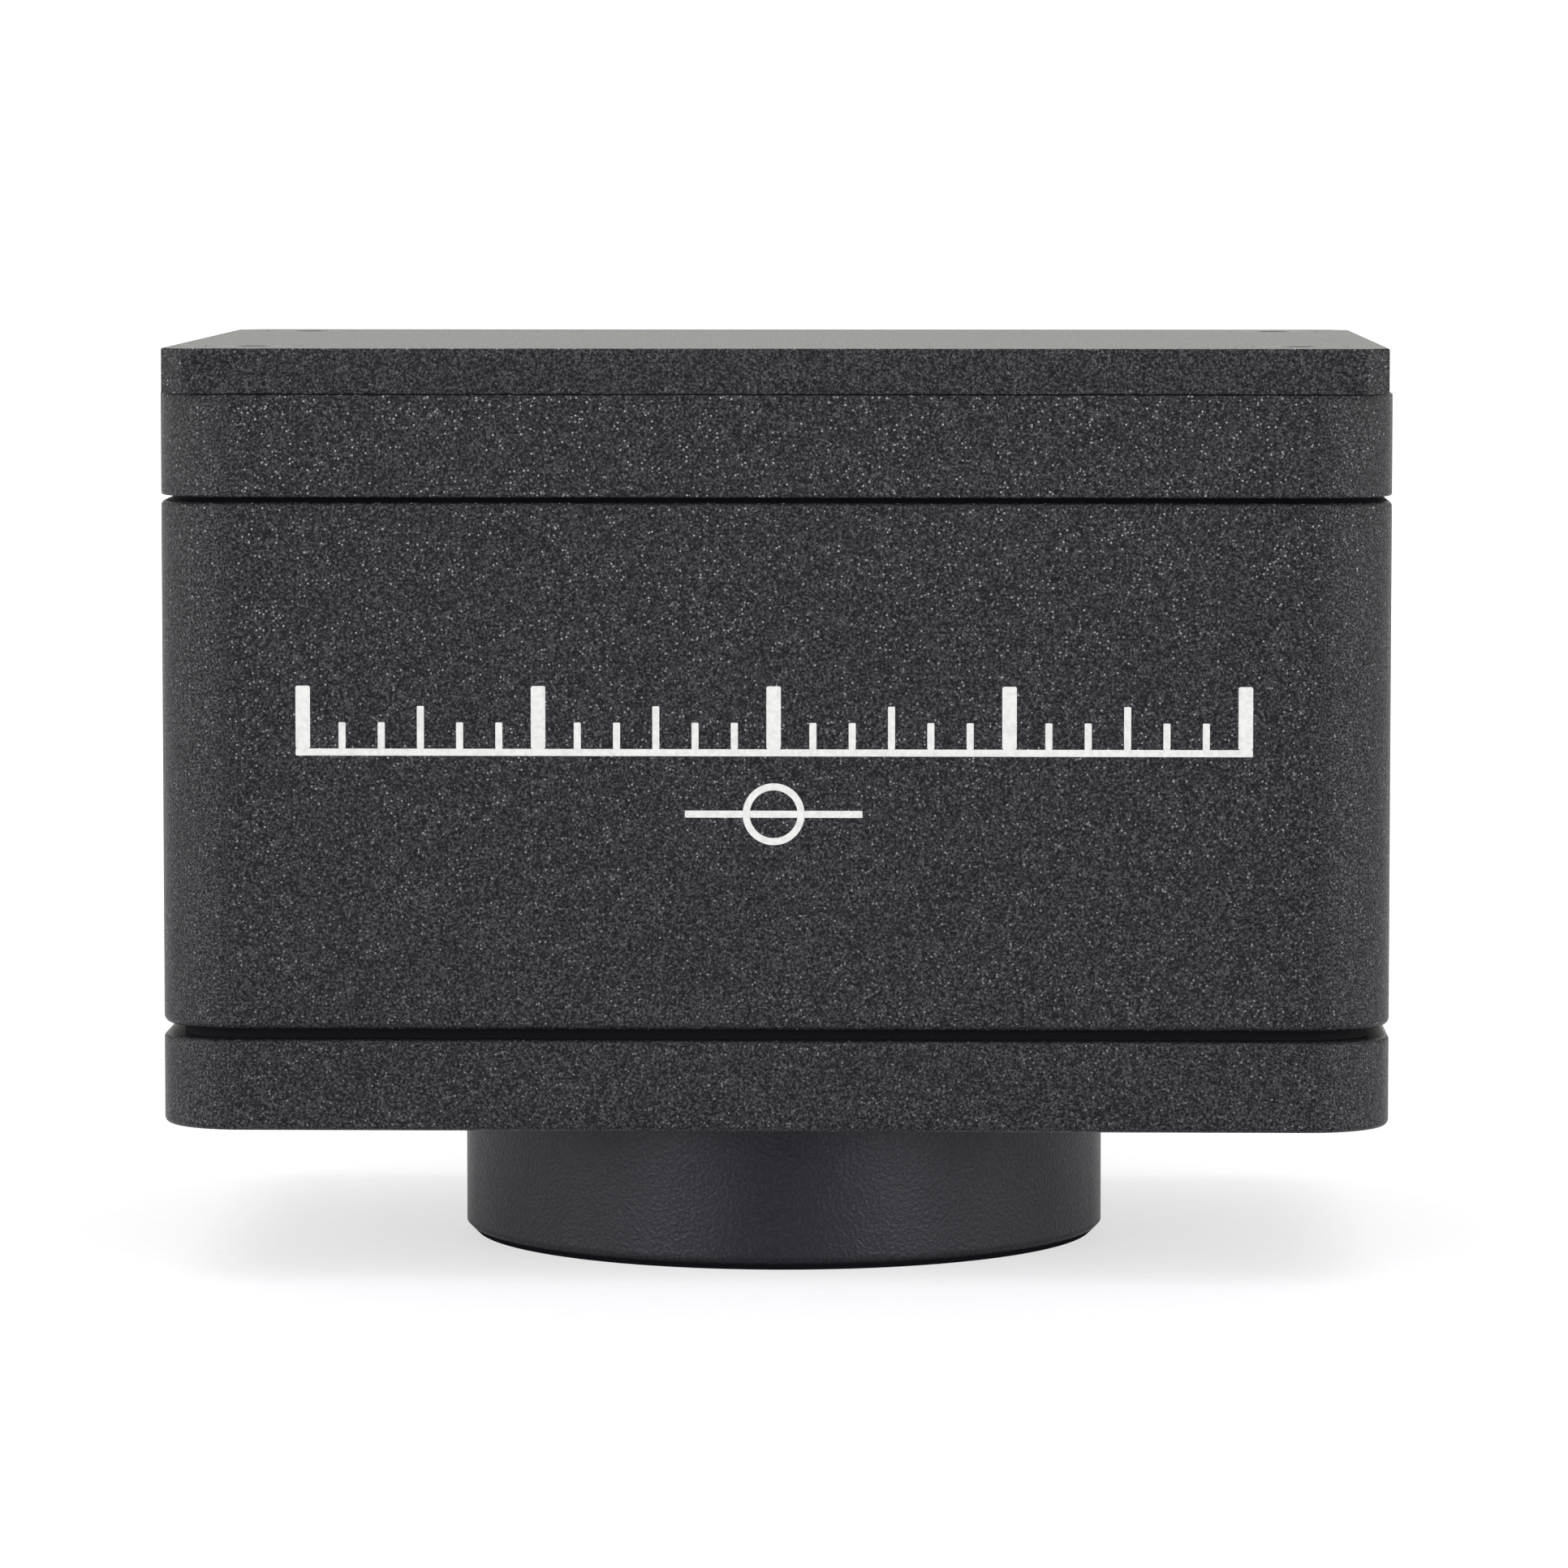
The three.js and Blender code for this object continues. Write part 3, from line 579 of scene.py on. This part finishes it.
def pin(radius, low, high, x, y, sides=SCREW_SIDES):
    """A plain rod, used to cut a hole or to stand as a pillar."""
    return move(turned("pin", [(radius, low), (radius, high)], sides), x, y)


def through_holes(nodes, radius, low, high):
    centres = [span(node)[2] for node in nodes]
    return [pin(radius, low, high, centre.x, centre.y) for centre in centres]


def head_room(head_radius, depth):
    """The countersunk hole under a flat head, with the head's face at z = 0 and the shank above it."""
    hole = SHANK_RADIUS + SHANK_ROOM
    mouth = head_radius + HEAD_ROOM
    rim = HEAD_RIM + HEAD_ROOM
    profile = [(mouth, -depth), (mouth, rim), (hole, rim + mouth - hole), (hole, 2 * depth)]
    return turned("head_room", profile, SCREW_SIDES)


def flat_screw(name, length, head_radius):
    """A flat-head screw with a hexagonal socket, its head's face at z = 0 and its shank towards +Z."""
    soft = 0.06 * MM
    head_edge = head_radius - soft
    cone_end = HEAD_RIM + head_radius - SHANK_RADIUS
    profile = [(head_edge, 0), (head_radius, soft), (head_radius, HEAD_RIM), (SHANK_RADIUS, cone_end)]
    profile += [(SHANK_RADIUS, length - 2 * soft), (SHANK_RADIUS - 2 * soft, length)]
    screw = turned(name, profile, SCREW_SIDES)
    socket_radius = SOCKET_FLATS / math.sqrt(3)
    mouth = socket_radius * 1.12
    chamfer = mouth - socket_radius
    socket = [(mouth + chamfer, -chamfer), (socket_radius, chamfer), (socket_radius, SOCKET_DEPTH)]
    socket.append((socket_radius * 0.2, SOCKET_DEPTH + socket_radius * 0.4))
    return combine(screw, [turned("socket", socket, 6)], "DIFFERENCE")


def place_screws():
    for node in FLANGE_SCREWS:
        low, high, centre = span(node)
        screw = flat_screw(node + "_fine", high.z - low.z, (high.x - low.x) / 2)
        finish(move(screw, centre.x, centre.y, low.z), looks["screw_black"], "screw_black", node)
    for node in CORNER_SCREWS:
        low, high, centre = span(node)
        screw = flip(flat_screw(node + "_fine", high.z - low.z, (high.x - low.x) / 2))
        finish(move(screw, centre.x, centre.y, high.z), looks["screw_black"], "screw_black", node)


# ---------------------------------------------------------------- housing sections


def size_of(node):
    low, high, _ = span(node)
    return high - low


def rear_cover():
    low, high, _ = span("rear_cover")
    width, depth, thickness = size_of("rear_cover")
    lip = low.z - COVER_LIP
    plate = block("cover_plate", width, depth, COVER_CORNER_CUT, lip, high.z, *COVER_RIMS, steps=1)
    sheet = size_of("cover_thermal_sheet")
    holes = [block("pocket", sheet.x, sheet.y, HOUSING_CORNER / 2, lip - MM, low.z, 0, 0)]
    for node in CORNER_SCREWS:
        centre = span(node)[2]
        room = flip(head_room(size_of(node).x / 2, thickness))
        holes.append(move(room, centre.x, centre.y, high.z))
    combine(plate, holes, "DIFFERENCE")
    finish(plate, looks["housing_black"], "housing_black", "rear_cover")


def rear_housing():
    low, high, _ = span("rear_housing")
    width, depth, _ = size_of("rear_housing")
    bottom = span("rear_gasket")[1].z
    section = block("rear_section", width, depth, HOUSING_CORNER, bottom, high.z, *REAR_RIMS)
    inner = size_of("rear_gasket")
    boss_width = inner.x - 2 * (WALL + BOSS_MARGINS[0])
    boss_depth = inner.y - 2 * (WALL + BOSS_MARGINS[1])
    boss = block("boss", boss_width, boss_depth, CAVITY_CORNER, low.z, bottom + WALL / 2, 0, 0)
    combine(section, [boss], "UNION")
    holes = through_holes(CORNER_SCREWS, SHANK_RADIUS + SHANK_ROOM, low.z - WALL, high.z + WALL)
    combine(section, holes, "DIFFERENCE")
    finish(section, looks["housing_black"], "housing_black", "rear_housing")


def body_cavity(width, depth, low, high):
    """The hollow of the body, less the four screw bosses."""
    hollow = block("hollow", width - 2 * WALL, depth - 2 * WALL, CAVITY_CORNER, low, high, 0, 0)
    bosses = through_holes(CORNER_SCREWS, BOSS_RADIUS, low - WALL, high + WALL)
    return combine(hollow, bosses, "DIFFERENCE")


def port_room(high):
    """The slot in the wall round the USB-C port."""
    _, _, centre = span("usb_port_shell")
    size = size_of("usb_port_shell")
    room = 2 * SHANK_ROOM
    outline = rounded_rectangle(size.x + room, size.z + room, size.z * 0.49 + SHANK_ROOM)
    outside = high.y + WALL
    inside = high.y - 2 * WALL
    return loft("port_room", [upright(outline, inside, centre), upright(outline, outside, centre)])


def pipe_room(high):
    _, _, centre = span("light_pipe")
    radius = size_of("light_pipe").x / 2 + SHANK_ROOM
    outline = circle(radius, SCREW_SIDES)
    outside = high.y + WALL
    inside = high.y - 2 * WALL
    return loft("pipe_room", [upright(outline, inside, centre), upright(outline, outside, centre)])


def body_shell():
    low, high, _ = span("body_shell")
    width, depth, _ = size_of("body_shell")
    section = block(
        "body_section", width, depth, HOUSING_CORNER, low.z, high.z, *BODY_RIMS, shadow=BODY_STEP
    )
    combine(section, [body_cavity(width, depth, low.z - WALL, high.z + WALL)], "DIFFERENCE")
    combine(section, [port_room(high), pipe_room(high)], "DIFFERENCE")
    tapped = SHANK_RADIUS + SHANK_ROOM
    screw_low = span("rear_screw_1")[0].z - MM
    screw_high = span("flange_screw_1")[1].z + MM
    upper = through_holes(CORNER_SCREWS, tapped, screw_low, high.z + WALL)
    lower = through_holes(FLANGE_SCREWS, tapped, low.z - WALL, screw_high)
    combine(section, upper + lower, "DIFFERENCE")
    finish(section, looks["housing_black"], "housing_black", "body_shell")


def front_flange():
    low, high, _ = span("front_flange")
    width, depth, _ = size_of("front_flange")
    top = span("front_gasket")[0].z
    section = block(
        "front_section", width, depth, HOUSING_CORNER, low.z, top, *FLANGE_RIMS, shadow=FLANGE_STEP
    )
    pillars = []
    for i in range(1, 5):
        centre = span(f"standoff_{i}")[2]
        pillars.append(pin(PILLAR_RADIUS, top - MM, high.z, centre.x, centre.y))
    combine(section, pillars, "UNION")
    holes = [pin(SPIGOT_RADIUS + SHANK_ROOM, low.z - MM, top + MM, 0, 0, ROUND_SIDES)]
    for i in range(1, 4):
        _, screw_high, centre = span(f"c_mount_screw_{i}")
        head = size_of(f"c_mount_screw_{i}").x / 2
        seat = screw_high.z - MOUNT_SCREW_SEAT
        holes.append(pin(MOUNT_SCREW_ROOM, low.z - MM, top + MM, centre.x, centre.y))
        holes.append(pin(head + SHANK_ROOM, seat, top + MM, centre.x, centre.y))
    for node in FLANGE_SCREWS:
        centre = span(node)[2]
        room = head_room(size_of(node).x / 2, top - low.z)
        holes.append(move(room, centre.x, centre.y, low.z))
    combine(section, holes, "DIFFERENCE")
    finish(section, looks["housing_black"], "housing_black", "front_flange")


def groove_shade_lip(node, step):
    """A dark rubber lip hung from a gasket into the step of the section under it, which paints the
    shade in the groove.
    """
    inset, height = step
    top = span(node)[0].z
    housing = size_of("body_shell")
    outer = (housing.x - size_of(node).x) / 2
    loops = []
    for edge, z in ((outer, top - height), (outer, top), (inset, top), (inset, top - height)):
        outline = rounded_rectangle(housing.x - 2 * edge, housing.y - 2 * edge, HOUSING_CORNER - edge)
        loops.append(level(outline, z))
    finish(loft(node + "_lip", loops, joined=True), looks["rubber_black"], "rubber_black")


# ---------------------------------------------------------------- C-mount ring


def thread_radius(angle, height):
    """The wall of the threaded bore: a helical tooth that fades out at both ends of the thread."""
    turn = (height / THREAD_PITCH - angle / (2 * math.pi)) % 1
    tooth = 1 - abs(2 * turn - 1)
    tooth = min(max((tooth - 0.1) / 0.8, 0), 1)
    entry = min(height / THREAD_PITCH, 1)
    runout = min((THREAD_LENGTH - height) / THREAD_PITCH, 1)
    reach = max(min(entry, runout), 0)
    return THREAD_MAJOR - (THREAD_MAJOR - THREAD_MINOR) * tooth * reach


def mount_ring():
    _, high, _ = span("c_mount_ring")
    outer = size_of("c_mount_ring").x / 2
    shoulder = span("front_flange")[0].z
    groove_width, groove_depth = RING_GROOVE
    sides = 2 * ROUND_SIDES
    soft = 0.1 * MM
    profile = [
        (outer - MOUNT_CHAMFER, 0),
        (outer, MOUNT_CHAMFER),
        (outer, shoulder - soft),
        (outer - soft, shoulder),
        (SPIGOT_RADIUS + groove_width, shoulder),
        (SPIGOT_RADIUS + groove_width, shoulder - groove_depth),
        (SPIGOT_RADIUS, shoulder - groove_depth),
        (SPIGOT_RADIUS, high.z),
        (THROAT_RADIUS, high.z),
        (THROAT_RADIUS, THREAD_LENGTH + soft),
    ]
    loops = [level(circle(radius, sides), height) for radius, height in profile]
    rows = round(THREAD_LENGTH / THREAD_PITCH * 10)
    for row in range(rows, -1, -1):
        height = THREAD_LENGTH * row / rows
        loop = []
        for i in range(sides):
            angle = 2 * math.pi * i / sides
            radius = max(thread_radius(angle, height), THREAD_MAJOR + LEAD_IN - height)
            loop.append(Vector((radius * math.cos(angle), radius * math.sin(angle), height)))
        loops.append(loop)
    ring = loft("mount_collar", loops, joined=True)
    finish(ring, looks["mount_black"], "mount_black", "c_mount_ring")


def filter_disc():
    low, high, _ = span("ir_cut_filter")
    radius = size_of("ir_cut_filter").x / 2
    soft = 0.15 * MM
    profile = [(radius - soft, low.z), (radius, low.z + soft), (radius, high.z - soft)]
    profile.append((radius - soft, high.z))
    disc = turned("filter_disc", profile)
    finish(disc, looks["filter_glass"], "filter_glass", "ir_cut_filter")


# ---------------------------------------------------------------- connector side


def port_shell():
    """A drawn steel tube with a rolled lip, closed at its back."""
    low, high, centre = span("usb_port_shell")
    size = size_of("usb_port_shell")
    skin = 0.35 * MM
    back = 0.7 * MM
    lip = skin / 2
    loops = []

    def add(inset, y):
        width = size.x - 2 * inset
        height = size.z - 2 * inset
        loops.append(upright(rounded_rectangle(width, height, height * 0.49), y, centre))

    add(0, low.y)
    for step in range(RIM_STEPS + 1):
        angle = math.pi * step / RIM_STEPS
        add(lip * (1 - math.cos(angle)), high.y - lip * (1 - math.sin(angle)))
    add(skin, low.y + back)
    tube = loft("port_tube", loops)
    finish(tube, looks["can_steel"], "can_steel", "usb_port_shell")


def port_tongue():
    """The port's tongue, with a row of contacts on each face."""
    low, high, centre = span("usb_port_tongue")
    size = size_of("usb_port_tongue")
    soft = 0.15 * MM
    outline = rounded_rectangle(size.x, size.z, size.z * 0.4)
    tip = rounded_rectangle(size.x - 2 * soft, size.z - 2 * soft, size.z * 0.25)
    loops = [upright(outline, low.y, centre), upright(outline, high.y - soft, centre)]
    tongue = loft("port_tongue", [*loops, upright(tip, high.y, centre)])
    finish(tongue, looks["chip_black"], "chip_black", "usb_port_tongue")
    contacts = bmesh.new()
    outline = rounded_rectangle(CONTACT_WIDTH, CONTACT_HEIGHT, CONTACT_HEIGHT / 3)
    for side in (-1, 1):
        for i in range(CONTACTS_PER_ROW):
            x = (i - (CONTACTS_PER_ROW - 1) / 2) * CONTACT_PITCH
            middle = Vector((centre.x + x, 0, centre.z + side * size.z / 2))
            back = upright(outline, high.y - CONTACT_ENDS[0], middle)
            front = upright(outline, high.y - CONTACT_ENDS[1], middle)
            add_loft(contacts, [back, front])
    finish(piece_from(contacts, "port_contacts"), looks["standoff_brass"], "standoff_brass")


def light_pipe():
    """A clear rod with a domed outer end."""
    low, high, centre = span("light_pipe")
    radius = size_of("light_pipe").x / 2
    dome = 0.25 * MM
    loops = [upright(circle(radius, SCREW_SIDES), low.y, centre)]
    for step in range(RIM_STEPS):
        angle = math.pi / 2 * step / RIM_STEPS
        ring = circle(radius * math.cos(angle), SCREW_SIDES)
        loops.append(upright(ring, high.y - dome * (1 - math.sin(angle)), centre))
    pipe = loft("light_rod", loops)
    finish(pipe, looks["clear_plastic"], "clear_plastic", "light_pipe")


# ---------------------------------------------------------------- printed marks


def front_marks():
    """A plain graduated scale over a focal-plane mark, printed on the long side."""
    ink = 0.02 * MM
    low, _, centre = span("body_shell")
    face = low.y
    marks = bmesh.new()

    def bar(x, z, width, height):
        outline = rounded_rectangle(width, height, min(width, height) * 0.15)
        middle = Vector((x, 0, z))
        add_loft(marks, [upright(outline, face - ink, middle), upright(outline, face + ink, middle)])

    thin = 0.34 * MM
    bold = 0.7 * MM
    scale_base = low.z + 13.7 * MM
    scale_height = 3.05 * MM
    pitch = 1.9 * MM
    count = 24
    for i in range(count + 1):
        x = centre.x + (i - count / 2) * pitch
        major = i % 6 == 0
        middling = i % 3 == 0
        height = scale_height * (1 if major else 0.68 if middling else 0.42)
        width = bold if major else thin
        bar(x, scale_base + height / 2, width, height)
    bar(centre.x, scale_base - thin / 2, count * pitch + bold, thin)

    mark_z = scale_base - 3.15 * MM
    radius = 1.5 * MM
    inner = radius - thin
    outside = [(radius, face + ink), (radius, face - ink)]
    inside = [(inner, face - ink), (inner, face + ink)]
    middle = Vector((centre.x, 0, mark_z))
    rings = [upright(circle(edge, ROUND_SIDES), y, middle) for edge, y in outside + inside]
    add_loft(marks, rings, joined=True)
    arm = 2.8 * MM
    for side in (-1, 1):
        bar(centre.x + side * (radius + arm / 2), mark_z, arm, thin)
    bar(centre.x, mark_z, 2 * inner, thin)
    finish(piece_from(marks, "printed_marks"), print_ink(), "housing_black")


# ---------------------------------------------------------------- studio


def floor():
    """A pale floor that gives off light of its own, as a light table does, which lightens the shadows
    on it; it glows less near the object, which paints a soft shadow round it.
    """
    radius = 4.0
    thickness = 0.01
    edge = circle(radius, ROUND_SIDES)
    ground = loft("studio_floor", [level(edge, -thickness), level(edge, 0)])
    look = Look("studio_floor", (0.32, 0.32, 0.35), 0.7)
    paper = look.noise(0.8, 3)
    look.paint(look.blend(look.spread(paper, 0.3, 0.7), (0.31, 0.31, 0.34), (0.33, 0.33, 0.36)))
    look.set("Emission Color", (1, 1, 1, 1))
    # Painted shadow: the glow is weakest within 120 mm of the middle and full beyond 500 mm.
    glow_with_painted_shadow = look.spread(look.reach(), 120, 500, 0.64, 0.9)
    look.join(glow_with_painted_shadow, look.shader.inputs["Emission Strength"])
    look.set("Specular IOR Level", 0.1)
    ground.data.materials.append(look.material)


def sky():
    """A white studio with a dark strip in front, from the camera up to overhead."""
    world = bpy.data.worlds.new("studio")
    bpy.context.scene.world = world
    world.use_nodes = True
    tree = world.node_tree
    background = tree.nodes["Background"]
    where = tree.nodes.new("ShaderNodeTexCoord")
    parts = tree.nodes.new("ShaderNodeSeparateXYZ")
    tree.links.new(where.outputs["Generated"], parts.inputs["Vector"])

    def fade(value, start, end, before, after):
        node = tree.nodes.new("ShaderNodeMapRange")
        node.interpolation_type = "SMOOTHSTEP"
        node.inputs["From Min"].default_value = start
        node.inputs["From Max"].default_value = end
        tree.links.new(value, node.inputs["Value"])
        for socket, brightness in (("To Min", before), ("To Max", after)):
            if isinstance(brightness, float):
                node.inputs[socket].default_value = brightness
            else:
                tree.links.new(brightness, node.inputs[socket])
        return node.outputs["Result"]

    sideways = tree.nodes.new("ShaderNodeMath")
    sideways.operation = "ABSOLUTE"
    tree.links.new(parts.outputs["X"], sideways.inputs[0])
    sides = fade(parts.outputs["Z"], 0.3, 0.65, SIDE_BRIGHTNESS, HIGH_BRIGHTNESS)
    front = fade(sideways.outputs["Value"], 0.3, 0.5, STRIP_BRIGHTNESS, sides)
    back = fade(sideways.outputs["Value"], 0.3, 0.5, BACK_BRIGHTNESS, FLANK_BRIGHTNESS)
    tree.links.new(fade(parts.outputs["Y"], 0.1, 0.5, front, back), background.inputs["Strength"])
    background.inputs["Color"].default_value = (1, 1, 0.92, 1)


def softbox(name, place, aim, width, height, power):
    data = bpy.data.lights.new(name, "AREA")
    data.shape = "RECTANGLE"
    data.size = width
    data.size_y = height
    data.energy = power
    lamp = bpy.data.objects.new(name, data)
    lamp.location = place
    lamp.rotation_euler = (Vector(aim) - Vector(place)).to_track_quat("-Z", "Y").to_euler()
    bpy.context.collection.objects.link(lamp)


def lights():
    middle = (0, 0, 0.02)
    for side, name in ((-1, "left_softbox"), (1, "right_softbox")):
        softbox(name, (side * 0.51, -0.61, 0.25), middle, 0.2, 0.6, 1.7)
    softbox("back_softbox", (0, 0.8, 0.5), middle, 1.6, 0.5, 1.5)
    softbox("top_softbox", (0, -0.15, 0.9), middle, 1.2, 1.2, 8)


def camera():
    """The long lens aims at the middle of the object."""
    data = bpy.data.cameras.new("camera")
    data.sensor_width = 36
    data.lens = CAMERA_LENS
    data.clip_start = 0.01
    eye = bpy.data.objects.new("camera", data)
    eye.location = Vector(CAMERA_PLACE)
    low, high = (Vector(corner) for corner in CAD_BOX)
    eye.rotation_euler = ((low + high) / 2 - eye.location).to_track_quat("-Z", "Y").to_euler()
    bpy.context.collection.objects.link(eye)
    bpy.context.scene.camera = eye


dress_nodes()
rear_cover()
rear_housing()
body_shell()
front_flange()
# Painted shade: dark rubber lips fill the steps so the grooves read dark.
groove_shade_lip("rear_gasket", BODY_STEP)
groove_shade_lip("front_gasket", FLANGE_STEP)
mount_ring()
filter_disc()
port_shell()
port_tongue()
light_pipe()
place_screws()
front_marks()
floor()
sky()
lights()
camera()
bpy.context.scene.view_settings.view_transform = "Standard"
